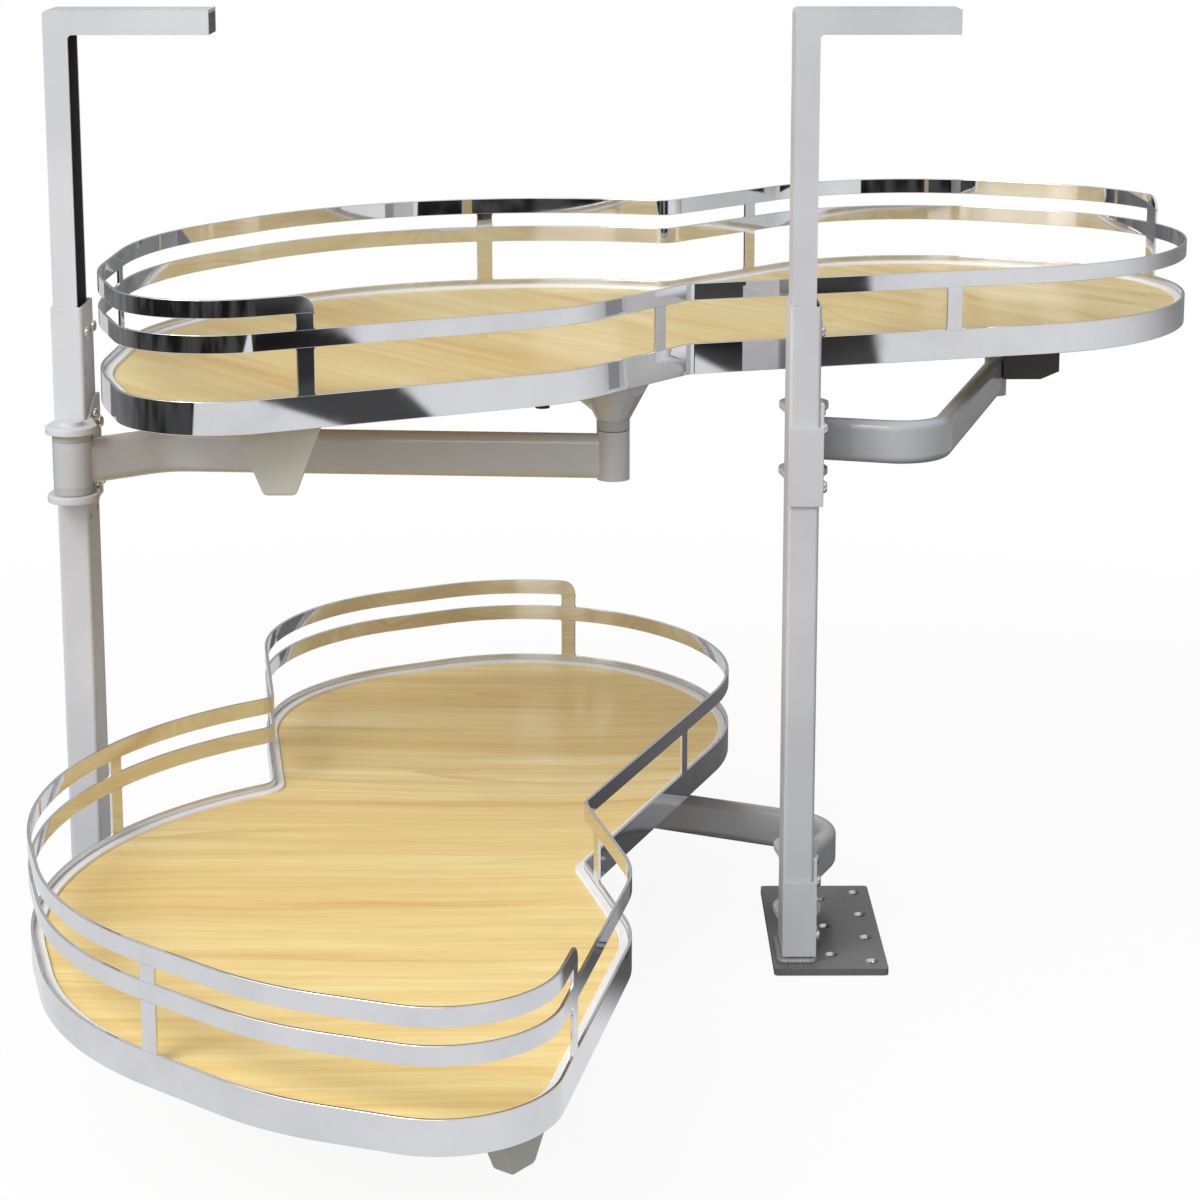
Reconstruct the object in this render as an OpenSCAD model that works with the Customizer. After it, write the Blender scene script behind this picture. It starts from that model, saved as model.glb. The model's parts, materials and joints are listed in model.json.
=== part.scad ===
// Blind corner pull out for a kitchen cupboard: two posts carry two kidney trays.
// Each tray hangs on a main arm (left post) and a guide arm (right post).
// X runs right, Y runs into the cupboard, Z runs up, all in millimetres.
// The origin is the right post's centre line at the underside of its base plate.

/* [Posts] */
// distance between the two post centre lines
post_spacing = 490; // [480:1:500]
// tube width, across the door opening
tube_w = 21; // [20.5:0.5:22]
// tube depth, into the cupboard
tube_d = 44; // [42:0.5:45]
// tube wall thickness
tube_wall = 1.5; // [1.2:0.1:2]
// outer corner radius of the tube
tube_corner = 2.5; // [2:0.1:3]
// height of the tube's open top above the floor
tube_top = 465; // [455:1:490]
// height of the lower spare holes on the left tube
spare_low = 322; // [315:1:326]
// height of the upper spare holes on the left tube
spare_high = 420; // [414:1:426]
// height of the spare holes on the right tube
spare_right = 306; // [300:1:320]

/* [Base plates] */
// plate width
base_w = 79; // [74:1:90]
// plate depth
base_d = 160; // [150:1:180]
// plate thickness
base_t = 5; // [4:0.5:6]
// plate edge to tube centre, left side
base_left = 16.5; // [14:0.5:18]
// plate edge to tube centre, front side
base_front = 35; // [30:1:40]
// corner radius of the plate
base_corner = 3; // [1:0.5:6]
// radius of the plate's screw holes
base_hole_r = 2.6; // [2.2:0.1:2.8]
// radius of the countersink at the plate's top
base_sink_r = 4.6; // [4.2:0.1:5]
// tube centre to the outer column of holes
outer_col_x = 52; // [48:1:55]
// tube centre to the first hole of the outer column
outer_row_y = -21; // [-24:1:-18]
// pitch of the four holes in the outer column
outer_pitch = 44; // [40:1:45]
// tube centre to the inner column of holes
inner_col_x = 25; // [23:1:30]
// tube centre to the first hole of the inner column
inner_row_y = -9; // [-12:1:-6]
// pitch of the three holes in the inner column
inner_pitch = 53.5; // [50:0.5:55]

/* [Top brackets] */
// height of the bracket's top face above the floor
bracket_top = 660; // [600:1:720]
// width of the bracket's upright leg
bracket_w = 16; // [14:0.5:16.5]
// depth of the channel
bracket_d = 38; // [34:0.5:38]
// sheet thickness of the channel
bracket_t = 2.5; // [2:0.1:3]
// height of the bracket's level arm
bracket_arm_h = 16.2; // [14:0.1:20]
// reach of the level arm to the right of the tube centre
bracket_reach = 99; // [95:1:120]
// length of the upright leg inside the tube
bracket_insert = 60; // [58:1:60]
// radius of the bracket's outer corner
bracket_corner = 3.5; // [1:0.5:5]
// radius of the bracket's inner corner
bracket_fillet = 3; // [1:0.5:6]
// radius of the two holes in the level arm
bracket_hole_r = 2.6; // [2:0.1:3.5]
// tube centre to the near hole in the level arm
bracket_hole_near = 30; // [24:1:40]
// tube centre to the far hole in the level arm
bracket_hole_far = 84; // [75:1:86]
// clamp screw shank radius
clamp_r = 2; // [1.8:0.1:2.4]
// height of the two clamp screws
clamp_z = 447; // [444:1:452]
// clamp screw distance from the tube's middle
clamp_y = 13; // [10:0.5:13.5]

/* [Knuckles] */
// knuckle axis to the right of its post centre
knuckle_x = 4; // [2:0.5:5]
// knuckle axis from its post centre, into or out of the cupboard
knuckle_y = 40; // [40:0.5:43]
// knuckle barrel radius
barrel_r = 12.75; // [12:0.25:13.5]
// half the height of the barrel
barrel_half = 15.5; // [15.5:0.25:17]
// hinge pin radius
pin_r = 5; // [4.5:0.1:5.5]
// outer radius of the bush sleeve
bush_r = 7; // [6.5:0.1:7.5]
// thickness of the bush flange
bush_flange = 4.8; // [4:0.1:6]
// length of the bush sleeve inside the barrel
bush_sleeve = 12; // [8:0.5:14]
// hinge pin head radius
pin_head_r = 8; // [7:0.5:9]
// hinge pin head height
pin_head_h = 3; // [2:0.5:4]

/* [Forks] */
// sheet thickness of the fork's strap and cheek
strap_t = 2.5; // [2:0.1:3]
// strap's lower edge below the arm's middle
strap_drop = 34.5; // [32:0.5:36]
// strap's upper edge above the arm's middle
strap_rise = 19.5; // [16:0.5:20]
// cheek's upper edge above the arm's middle
cheek_rise = 36; // [34:0.5:38]
// lug plate thickness
lug_t = 5; // [4:0.5:6]
// lug end radius round the pin
lug_r = 17; // [15.5:0.5:17.5]
// how far the cheek reaches past the tube's middle at arm height
mouth_y = 10; // [4:0.5:12]
// fork screw shank radius
screw_r = 1.9; // [1.6:0.1:2.2]
// fork screw head radius
screw_head_r = 4.2; // [3.5:0.1:4.5]
// fork screw head height
screw_head_h = 3.2; // [2.2:0.1:3.6]

/* [Arms] */
// height of the upper arm's middle above the floor
arm_z_upper = 364; // [360:1:368]
// height of the lower arm's middle above the floor
arm_z_lower = 44; // [42:1:50]
// main arm length between its two axes
main_len = 358.6; // [357:0.2:360]
// guide arm length between its two axes
guide_len = 285; // [284:0.5:287]
// tray length between its two axes
tray_link = 417; // [416:0.5:419]
// direction of the upper guide arm, from X towards Y
guide_angle_upper = 54.6; // [53:0.2:56]
// direction of the lower guide arm, from X towards Y
guide_angle_lower = 136.7; // [135:0.2:138]
// main arm's flat oval tube thickness
main_w = 13.5; // [12:0.5:15]
// main arm's flat oval tube height
main_h = 30.5; // [28:0.5:30.5]
// main arm's bend, along the line of its axes
main_bend_x = 60; // [56:1:66]
// main arm's bend, off the line of its axes
main_bend_y = 40; // [36:1:44]
// main arm's bend radius
main_bend_r = 34; // [28:1:40]
// guide arm's flat oval tube thickness
guide_w = 13; // [12:0.5:14]
// guide arm's flat oval tube height
guide_h = 30; // [28:0.5:30.5]
// guide arm's bend, along the line of its axes
guide_bend_x = 31; // [28:1:34]
// guide arm's bend, off the line of its axes
guide_bend_y = -86; // [-90:1:-82]
// guide arm's bend radius
guide_bend_r = 32; // [28:1:38]
// arm tube wall thickness
arm_wall = 2; // [1.5:0.1:2.5]
// main arm's end cylinder radius
arm_end_r = 11.1; // [10.5:0.1:12]
// main arm's end cylinder, top above the arm's middle
arm_end_top = 18; // [16.5:0.5:19]
// guide arm's end cylinder radius
guide_end_r = 8.5; // [8:0.1:9]
// guide arm's pin radius
guide_pin_r = 5; // [4:0.1:5.5]
// damper box width
box_w = 38; // [34:1:42]
// damper box depth
box_d = 30; // [26:1:34]
// damper box lower edge below the arm's middle
box_drop = 1; // [0:0.5:4]
// chamfer on the damper box's lower outer corner, across
box_chamfer = 14; // [8:1:18]
// chamfer on the damper box's lower outer corner, upwards
box_chamfer_h = 6; // [4:0.5:10]

/* [Trays] */
// band's upper edge above the arm's middle
band_rise = 71; // [70:0.5:74]
// band height
band_h = 21; // [19:0.5:23]
// thickness of the band and rail strip
strip_t = 2; // [1.5:0.1:2.5]
// height of the two rails
rail_h = 11.5; // [10:0.5:12]
// gap from the band up to the middle rail
mid_gap = 29.5; // [27:0.5:32]
// gap from the middle rail up to the top rail
top_gap = 10; // [8:0.5:12]
// corner radius at the ends of the top rail
rail_end_r = 10; // [4:0.5:11]
// width of the uprights
upright_w = 11.5; // [10:0.5:13]
// floor board thickness
board_t = 12; // [10:0.5:13]
// board's upper face below the band's upper edge
board_sink = 6; // [5:0.5:7]
// clear radius kept round each post's centre line when the tray is in
post_clear = 27; // [25:0.5:28]
// width of the edge liner between board and band
liner_w = 4; // [3:0.5:5]
// how far the liner stands above the board
liner_lip = 1.5; // [0.5:0.5:3]

/* [Tray fittings] */
// tray pivot pin radius
pivot_r = 6; // [5.5:0.1:6.5]
// height of the collar above the main arm's end
collar_h = 7; // [6:0.5:8]
// radius of the cone's skirt under the board
cone_r = 34; // [30:0.5:36]
// how far the skirt's middle is set in from the pivot, away from the band
skirt_in = 9; // [6:0.5:10]
// thickness of the cone's upper rim
cone_rim = 1.5; // [1:0.1:2]
// guide plate radius
plate_r = 32; // [30:1:36]
// guide plate thickness
plate_t = 4; // [3:0.5:5]
// guide plate screws, distance from the guide axis
plate_screw_r = 24; // [22:1:25]
// wedge width at the board
wedge_w = 58; // [50:1:62]
// wedge depth at the board
wedge_d = 26; // [22:1:30]
// wedge width at its foot
wedge_foot_w = 20; // [16:1:26]
// wedge depth at its foot
wedge_foot_d = 14; // [10:1:18]
// wedge height
wedge_h = 50; // [40:1:52]
// wedge position from the nose corner, along the tray's axis line
wedge_x = 108; // [104:1:112]
// wedge position from the nose corner, off the tray's axis line
wedge_y = 0; // [-3:1:5]
// wedge direction against the tray's axis line
wedge_turn = -44; // [-50:1:-40]
// bumper stub radius
bumper_r = 5; // [4:0.5:6]
// bumper flange radius
bumper_flange_r = 9; // [8:0.5:10]
// bumper height
bumper_h = 28; // [20:1:28]
// bumper position along the tray's axis line
bumper_x = -6; // [-8:1:-2]
// bumper position off the tray's axis line
bumper_y = 62; // [58:1:66]

/* [Hidden] */
$fn = 64;
// radial play of a pin that turns in its bore
run_fit = 0.05;
// radial play between parts that are pressed together
seat_fit = 0.02;
// radial play of a screw in its hole
screw_play = 0.3;
// play between faces that slide past each other
face_play = 0.2;
// overshoot of every cut
cut = 1;
// how much the oval tube swells where it is bent
bend_swell = 0.05;
// how far a straight leg runs on into its bend
bend_lap = 0.6;
// largest turn of one straight piece in a tray curve
arc_step = 6;
// smallest radius left when a tray curve is set inwards
least_r = 0.5;
fork_edge = tube_w / 2 + strap_t;
bracket_left = -tube_w / 2 + tube_wall;
lug_in = barrel_half + bush_flange + face_play;
lug_out = lug_in + lug_t;
barrel_bore = bush_r + seat_fit;
board_top = band_rise - board_sink;
board_bottom = board_top - board_t;
band_bottom = band_rise - band_h;
mid_low = band_rise + mid_gap;
mid_high = mid_low + rail_h;
top_low = mid_high + top_gap;
top_high = top_low + rail_h;
liner_in = strip_t + liner_w;
collar_low = arm_end_top + face_play * 2;
collar_high = collar_low + collar_h;
pivot_foot = -10;
guide_pin_top = board_bottom - plate_t - face_play;
// fork screws as distance towards the strap and height over the arm's middle
fork_screws = [[-14, 17], [5, 26], [-14, -23], [5, -26]];
// how far a fork screw's tip stands past the tube's wall
screw_bite = 3;
fork_screw_len = strap_t + tube_wall + screw_bite;
// share of a pan head's radius that is left at its top
screw_crown = 0.8;
clamp_screws = [[-clamp_y, clamp_z], [clamp_y, clamp_z]];
// guide plate screws as turns round the guide axis
plate_screws = [30, 150, 270];

function unit(v) = v / norm(v);
function right_of(v) = [v[1], -v[0]];
function turn_of(v) = atan2(v[1], v[0]);

// where each level's linkage stands
axis_a = [knuckle_x - post_spacing, -knuckle_y];
axis_b = [knuckle_x, knuckle_y];
function axis_d(g) = axis_b + guide_len * [cos(g), sin(g)];
function axis_c(g) =
    let (v = axis_d(g) - axis_a)
    let (n = norm(v))
    let (along = (main_len * main_len - tray_link * tray_link + n * n) / (2 * n))
    let (off = sqrt(main_len * main_len - along * along))
    axis_a + along * unit(v) + off * right_of(unit(v));
function arm_z(upper) = upper ? arm_z_upper : arm_z_lower;
function guide_angle(upper) = upper ? guide_angle_upper : guide_angle_lower;
function main_angle(upper) = turn_of(axis_c(guide_angle(upper)) - axis_a);
function tray_angle(upper) = turn_of(axis_d(guide_angle(upper)) - axis_c(guide_angle(upper)));

// a place in the axes of the upper tray, which shows the trays pushed in
function in_tray(p) =
    let (v = p - axis_c(guide_angle_upper), t = tray_angle(true))
    [v[0] * cos(t) + v[1] * sin(t), v[1] * cos(t) - v[0] * sin(t)];
left_post = in_tray([-post_spacing, 0]);
right_post = in_tray([0, 0]);
// tray outline corners in the tray's own axes: x, y, rounding radius
corner = [
    [57, -16, 12],
    [403, -199, 183],
    [571, -45, 143],
    [482, 192, 157],
    [244, 185, 14],
    [146, 363, 265],
    [-153, 315, 244],
    [-276, 197, 205],
    [-344, 59, 67],
    [-70, -32, 119]
];
nose = 8;
// uprights as a corner and a place: up to 1 round its curve, from 1 to 2 along the straight after it
tall_uprights = [[2, 0.38], [3, 1.255], [5, 0.385], [6, 1.1], [nose, 1.17]];
// uprights where only the middle rail runs
short_uprights = [[9, 1.705], [0, 1.735]];
first_upright = tall_uprights[0];
last_upright = tall_uprights[len(tall_uprights) - 1];

// points round one tray corner, the edge set outwards by d, from share f0 to share f1 of the curve
function xy(i) = let (c = corner[(i + len(corner)) % len(corner)]) [c[0], c[1]];
function corner_curve(i, d, f0 = 0, f1 = 1) =
    let (d1 = unit(xy(i) - xy(i - 1)), d2 = unit(xy(i + 1) - xy(i)))
    let (n1 = right_of(d1), n2 = right_of(d2))
    let (v = xy(i) + d * (n1 + n2) / (1 + n1 * n2))
    let (bend = atan2(d1[0] * d2[1] - d1[1] * d2[0], d1 * d2))
    let (side = sign(bend))
    let (r = max(least_r, corner[i][2] + side * d))
    let (from = v - d1 * r * tan(abs(bend) / 2))
    let (middle = from - side * r * n1)
    let (a0 = turn_of(from - middle))
    let (steps = max(2, ceil(abs(bend) * (f1 - f0) / arc_step)))
    [for (j = [0:steps]) let (a = a0 + bend * (f0 + (f1 - f0) * j / steps)) middle + r * [cos(a), sin(a)]];
function edge_turn(i) = turn_of(xy(i + 1) - xy(i));
function bend_at(i) = let (t = edge_turn(i) - edge_turn(i - 1)) t - 360 * round(t / 360);
function upright_at(u) =
    let (i = u[0], f = u[1])
    let (p = corner_curve(i, 0, min(f, 1), min(f, 1))[0])
    let (q = corner_curve((i + 1) % len(corner), 0, 0, 0)[0])
    [each p + max(f - 1, 0) * (q - p), f < 1 ? edge_turn(i - 1) + f * bend_at(i) : edge_turn(i)];
function outline(d) = [for (i = [0:len(corner) - 1]) each corner_curve(i, d)];

// the top rail runs just past the first and last upright, and its ends are then cut round
rail_curve = corner[first_upright[0]][2] * bend_at(first_upright[0]) * PI / 180;
rail_start = first_upright[1] - (upright_w / 2 + cut) / rail_curve;
function rail_finish(d) =
    let (u = upright_at(last_upright))
    let (along = [cos(u[2]), sin(u[2])])
    [u[0], u[1]] + along * (upright_w / 2 + cut) + d * right_of(along);
function top_path(d) = [
    each corner_curve(first_upright[0], d, rail_start, 1),
    for (i = [first_upright[0] + 1:nose]) each corner_curve(i, d),
    rail_finish(d)
];

// carriers that put a shape on its post or on its link
module on_left_post() translate([-post_spacing, 0, 0]) children();
module on_right_post() children();
module on_left_fork(upper) on_left_post() translate([0, 0, arm_z(upper)]) mirror([0, 1, 0]) children();
module on_right_fork(upper) translate([0, 0, arm_z(upper)]) children();
module on_main(upper) translate([axis_a[0], axis_a[1], arm_z(upper)]) rotate(main_angle(upper)) children();
module on_guide(upper) translate([axis_b[0], axis_b[1], arm_z(upper)]) rotate(guide_angle(upper)) children();
module on_tray(upper)
    let (c = axis_c(guide_angle(upper)))
    translate([c[0], c[1], arm_z(upper)]) rotate(tray_angle(upper)) children();

// small shared shapes
module round_rect(w, d, r) {
    translate([r, 0]) square([w - 2 * r, d]);
    translate([0, r]) square([w, d - 2 * r]);
    for (x = [r, w - r], y = [r, d - r]) translate([x, y]) circle(r);
}
module flat_oval(w, h) {
    square([w, h - w], center = true);
    for (s = [-1, 1]) translate([0, s * (h - w) / 2]) circle(w / 2);
}
module along_x(h) rotate([90, 0, 90]) linear_extrude(h) children();
module cross_hole(y, z, r, x0, x1) translate([x0, y, z]) rotate([0, 90, 0]) cylinder(h = x1 - x0, r = r);
module pan_screw(len) {
    cylinder(h = screw_head_h, r1 = screw_head_r, r2 = screw_head_r * screw_crown);
    translate([0, 0, -len]) cylinder(h = len, r = screw_r);
}

// post tube with the holes for both forks, the clamp screws and the spare positions
module tube_shape(side, spares) {
    difference() {
        translate([-tube_w / 2, -tube_d / 2, base_t])
            linear_extrude(tube_top - base_t)
            round_rect(tube_w, tube_d, tube_corner);
        translate([-tube_w / 2 + tube_wall, -tube_d / 2 + tube_wall, base_t - cut])
            linear_extrude(tube_top - base_t + 2 * cut)
            round_rect(tube_w - 2 * tube_wall, tube_d - 2 * tube_wall, tube_corner - tube_wall);
        for (z = [arm_z_upper, arm_z_lower], s = fork_screws)
            cross_hole(side * s[0], z + s[1], screw_r + screw_play, 0, tube_w / 2 + cut);
        for (s = clamp_screws)
            cross_hole(s[0], s[1], clamp_r + screw_play, 0, tube_w / 2 + cut);
        for (z = spares, y = [-clamp_y, clamp_y])
            cross_hole(y, z, clamp_r + screw_play, 0, tube_w / 2 + cut);
    }
}
module base_shape() {
    difference() {
        translate([-base_left, -base_front, 0])
            linear_extrude(base_t)
            round_rect(base_w, base_d, base_corner);
        for (i = [0:3]) translate([outer_col_x, outer_row_y + i * outer_pitch, 0]) sunk_hole();
        for (i = [0:2]) translate([inner_col_x, inner_row_y + i * inner_pitch, 0]) sunk_hole();
    }
}
module sunk_hole() {
    translate([0, 0, -cut]) cylinder(h = base_t + 2 * cut, r = base_hole_r);
    translate([0, 0, base_t - (base_sink_r - base_hole_r)])
        cylinder(h = base_sink_r - base_hole_r, r1 = base_hole_r, r2 = base_sink_r);
}

// folded channel, its web on the left and on top, open to the right and below
module bracket_shape() {
    foot = tube_top - bracket_insert;
    under = bracket_top - bracket_arm_h;
    inner = bracket_left + bracket_w;
    difference() {
        rotate([90, 0, 0]) linear_extrude(bracket_d, center = true) difference() {
            union() {
                translate([bracket_left, foot]) square([bracket_w, bracket_top - bracket_corner - foot]);
                translate([bracket_left + bracket_corner, under])
                    square([bracket_reach - bracket_left - bracket_corner, bracket_arm_h]);
                translate([bracket_left + bracket_corner, bracket_top - bracket_corner])
                    circle(bracket_corner);
                translate([inner, under - bracket_fillet]) square(bracket_fillet);
            }
            translate([inner + bracket_fillet, under - bracket_fillet]) circle(bracket_fillet);
        }
        translate([bracket_left + bracket_t, -bracket_d / 2 + bracket_t, foot - cut])
            cube([bracket_reach, bracket_d - 2 * bracket_t, bracket_top - bracket_t - foot + cut]);
        for (x = [bracket_hole_near, bracket_hole_far])
            translate([x, 0, bracket_top - bracket_t - cut])
            cylinder(h = bracket_t + 2 * cut, r = bracket_hole_r);
        for (s = clamp_screws)
            cross_hole(s[0], s[1], clamp_r + screw_play, bracket_left - cut, bracket_left + bracket_t + cut);
    }
}
module clamp_screws_shape() {
    for (s = clamp_screws) {
        cross_hole(s[0], s[1], clamp_r, bracket_left + face_play, tube_w / 2);
        cross_hole(s[0], s[1], screw_head_r, tube_w / 2, tube_w / 2 + screw_head_h);
    }
}

// fork: strap across the tube, a cheek beside it and two lugs that take the hinge pin
module fork_shape() {
    tail = tube_d / 2 - strap_t;
    difference() {
        union() {
            translate([-tube_w / 2, -tube_d / 2 - strap_t, -strap_drop])
                cube([tube_w + strap_t, strap_t, strap_drop + strap_rise]);
            translate([tube_w / 2, 0, 0]) along_x(strap_t) polygon([
                [-tube_d / 2, -strap_drop],
                [strap_t, -strap_drop],
                [tail, -lug_out],
                [tail, -lug_in],
                [mouth_y, -lug_in],
                [mouth_y, lug_in],
                [tail, lug_in],
                [tail, lug_out],
                [-strap_t * 2, cheek_rise],
                [-tube_d / 2, cheek_rise]
            ]);
            for (z = [-lug_out, lug_in]) translate([0, 0, z]) linear_extrude(lug_t) lug_plan();
        }
        translate([knuckle_x, knuckle_y, -lug_out - cut])
            cylinder(h = 2 * lug_out + 2 * cut, r = pin_r + seat_fit);
        for (s = fork_screws)
            cross_hole(s[0], s[1], screw_r + screw_play, 0, fork_edge + cut);
    }
}
module lug_plan() {
    difference() {
        union() {
            polygon([
                [tube_w / 2, strap_t],
                [fork_edge, strap_t],
                [fork_edge, mouth_y],
                [knuckle_x + lug_r, knuckle_y],
                [knuckle_x - lug_r, knuckle_y],
                [-tube_w / 2, tube_d / 2]
            ]);
            translate([knuckle_x, knuckle_y]) circle(lug_r);
        }
        translate([-tube_w / 2, -tube_d / 2]) square([tube_w, tube_d]);
    }
}
module hinge_pin_shape() {
    translate([knuckle_x, knuckle_y, -lug_out - strap_t]) cylinder(h = 2 * lug_out + strap_t, r = pin_r);
    translate([knuckle_x, knuckle_y, lug_out]) cylinder(h = pin_head_h, r = pin_head_r);
}
module fork_screws_shape() {
    for (s = fork_screws)
        translate([fork_edge, s[0], s[1]]) rotate([0, 90, 0]) pan_screw(fork_screw_len);
}

// bent flat oval tube between two points, trimmed at both ends
module bent_tube(start, bend, finish, r, w, h, trim0, trim1) {
    d1 = unit(bend - start);
    d2 = unit(finish - bend);
    turn = atan2(d1[0] * d2[1] - d1[1] * d2[0], d1 * d2);
    side = sign(turn);
    back = r * tan(abs(turn) / 2);
    p1 = start + trim0 * d1;
    p2 = bend - back * d1;
    p3 = bend + back * d2;
    p4 = finish - trim1 * d2;
    middle = p2 - side * r * right_of(d1);
    a0 = side > 0 ? turn_of(p2 - middle) : turn_of(p3 - middle);
    translate(p1) rotate(turn_of(d1)) along_x(norm(p2 - p1) + bend_lap) flat_oval(w, h);
    translate(p4) rotate(turn_of(-d2)) along_x(norm(p4 - p3) + bend_lap) flat_oval(w, h);
    translate(middle) rotate(a0) rotate_extrude(angle = abs(turn)) translate([r, 0])
        flat_oval(w + 2 * bend_swell, h + 2 * bend_swell);
}
module main_arm_shape() {
    bend = [main_bend_x, main_bend_y];
    tip = [main_len, 0];
    difference() {
        union() {
            bent_tube([0, 0], bend, tip, main_bend_r, main_w, main_h, bush_r + cut, pivot_r + cut);
            translate([0, 0, -barrel_half]) cylinder(h = 2 * barrel_half, r = barrel_r);
            translate([main_len, 0, -barrel_half]) cylinder(h = barrel_half + arm_end_top, r = arm_end_r);
        }
        bent_tube([0, 0], bend, tip, main_bend_r, main_w - 2 * arm_wall, main_h - 2 * arm_wall,
            barrel_r - cut, arm_end_r - cut);
        translate([0, 0, -barrel_half - cut]) cylinder(h = 2 * barrel_half + 2 * cut, r = barrel_bore);
        translate([main_len, 0, pivot_foot - face_play])
            cylinder(h = arm_end_top - pivot_foot + face_play + cut, r = pivot_r + run_fit);
    }
}
module guide_arm_shape() {
    bend = [guide_bend_x, guide_bend_y];
    tip = [guide_len, 0];
    difference() {
        union() {
            bent_tube([0, 0], bend, tip, guide_bend_r, guide_w, guide_h, bush_r + cut, guide_pin_r + cut);
            translate([0, 0, -barrel_half]) cylinder(h = 2 * barrel_half, r = barrel_r);
            translate([guide_len, 0, -barrel_half]) cylinder(h = barrel_half + arm_end_top, r = guide_end_r);
        }
        bent_tube([0, 0], bend, tip, guide_bend_r, guide_w - 2 * arm_wall, guide_h - 2 * arm_wall,
            barrel_r - cut, guide_end_r - cut);
        translate([0, 0, -barrel_half - cut]) cylinder(h = 2 * barrel_half + 2 * cut, r = barrel_bore);
        translate([guide_len, 0, pivot_foot])
            cylinder(h = arm_end_top - pivot_foot + cut, r = guide_pin_r + seat_fit);
    }
}
module bushes_shape() {
    for (s = [0, 1]) mirror([0, 0, s]) difference() {
        union() {
            translate([0, 0, barrel_half]) cylinder(h = bush_flange, r = barrel_r);
            translate([0, 0, barrel_half - bush_sleeve]) cylinder(h = bush_sleeve, r = bush_r);
        }
        translate([0, 0, barrel_half - bush_sleeve - cut])
            cylinder(h = bush_sleeve + bush_flange + 2 * cut, r = pin_r + run_fit);
    }
}
module guide_pin_shape() {
    translate([guide_len, 0, pivot_foot]) cylinder(h = guide_pin_top - pivot_foot, r = guide_pin_r);
}

// dark box clasping the guide arm's end, square to the posts when the tray is in
module damper_box_shape() {
    foot = -box_drop;
    head = guide_pin_top - cut;
    translate([guide_len, 0, 0]) rotate(-guide_angle_upper) difference() {
        rotate([90, 0, 0]) linear_extrude(box_d, center = true) polygon([
            [guide_pin_r - cut, foot],
            [guide_end_r + box_w - box_chamfer, foot],
            [guide_end_r + box_w, foot + box_chamfer_h],
            [guide_end_r + box_w, head],
            [guide_pin_r - cut, head]
        ]);
        translate([0, 0, foot - cut]) cylinder(h = head - foot + 2 * cut, r = guide_end_r + seat_fit);
        rotate(guide_angle_upper + turn_of([guide_bend_x - guide_len, guide_bend_y]))
            translate([0, -guide_w / 2 - face_play, foot - cut])
            cube([box_w, guide_w + 2 * face_play, head - foot + 2 * cut]);
    }
}

// tray pieces, drawn in the tray's own axes
module plan(d) {
    difference() {
        polygon(outline(d));
        for (p = [left_post, right_post]) translate(p) circle(post_clear - d);
    }
}
module ring(d0, d1) {
    difference() {
        plan(-d0);
        plan(-d1);
    }
}
module edge_ring(low, high, d0, d1) translate([0, 0, low]) linear_extrude(high - low) ring(d0, d1);
module board_shape() translate([0, 0, board_bottom]) linear_extrude(board_t) plan(-liner_in);
module liner_shape() edge_ring(board_bottom, board_top + liner_lip, strip_t, liner_in);
module band_shape() edge_ring(band_bottom, band_rise, 0, strip_t);
module mid_rail_shape() edge_ring(mid_low, mid_high, 0, strip_t);
module top_rail_shape() {
    difference() {
        translate([0, 0, top_low]) linear_extrude(rail_h) intersection() {
            ring(0, strip_t);
            polygon(top_path(cut));
        }
        rail_end_cut(upright_at(first_upright), -1);
        rail_end_cut(upright_at(last_upright), 1);
    }
}
// what is cut away above and beyond the rounded end of a top rail
module rail_end_cut(u, side) {
    far = 3 * rail_end_r;
    brow = rail_end_r * [sin(arc_step), cos(arc_step)];
    translate([u[0], u[1], top_high - rail_end_r]) rotate(u[2]) rotate([90, 0, 0])
        translate([side * (upright_w / 2 - rail_end_r), 0, -upright_w])
        linear_extrude(2 * upright_w) mirror([side > 0 ? 0 : 1, 0]) polygon([
            [-brow[0], far],
            [-brow[0], 2 * rail_end_r - brow[1]],
            for (a = [90 - arc_step:-arc_step:0]) rail_end_r * [cos(a), sin(a)],
            [rail_end_r, -rail_h],
            [far, -rail_h],
            [far, far]
        ]);
}
module upright_piece(place, low, high) {
    u = upright_at(place);
    translate([0, 0, low]) linear_extrude(high - low) intersection() {
        ring(0, strip_t);
        translate([u[0], u[1]]) rotate(u[2]) square([upright_w, 4 * upright_w], center = true);
    }
}
module uprights_shape() {
    for (u = tall_uprights) {
        upright_piece(u, band_rise, mid_low);
        upright_piece(u, mid_high, top_low);
    }
    for (u = short_uprights) upright_piece(u, band_rise, mid_low);
}
// flared foot of the tray pivot: a round neck and a skirt set inwards, both cut short of the band
module cone_shape() {
    tall = board_bottom - collar_high + 2 * cut;
    difference() {
        union() {
            flare(arm_end_r, cone_r - skirt_in);
            translate([0, skirt_in, 0]) flare(arm_end_r - skirt_in, cone_r);
        }
        translate([0, 0, collar_high - cut]) linear_extrude(tall) circle(pivot_r + seat_fit);
        translate([0, 0, collar_high - cut]) linear_extrude(tall) difference() {
            circle(3 * cone_r);
            plan(-strip_t - face_play);
        }
    }
}
module flare(foot, rim) {
    rotate_extrude() polygon([
        [0, collar_high],
        [foot, collar_high],
        [rim, board_bottom - cone_rim],
        [rim, board_bottom],
        [0, board_bottom]
    ]);
}
module collar_shape() {
    difference() {
        translate([0, 0, collar_low]) cylinder(h = collar_h, r = arm_end_r);
        translate([0, 0, collar_low - cut]) cylinder(h = collar_h + 2 * cut, r = pivot_r + seat_fit);
    }
}
module pivot_pin_shape() translate([0, 0, pivot_foot]) cylinder(h = board_bottom - pivot_foot, r = pivot_r);
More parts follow.
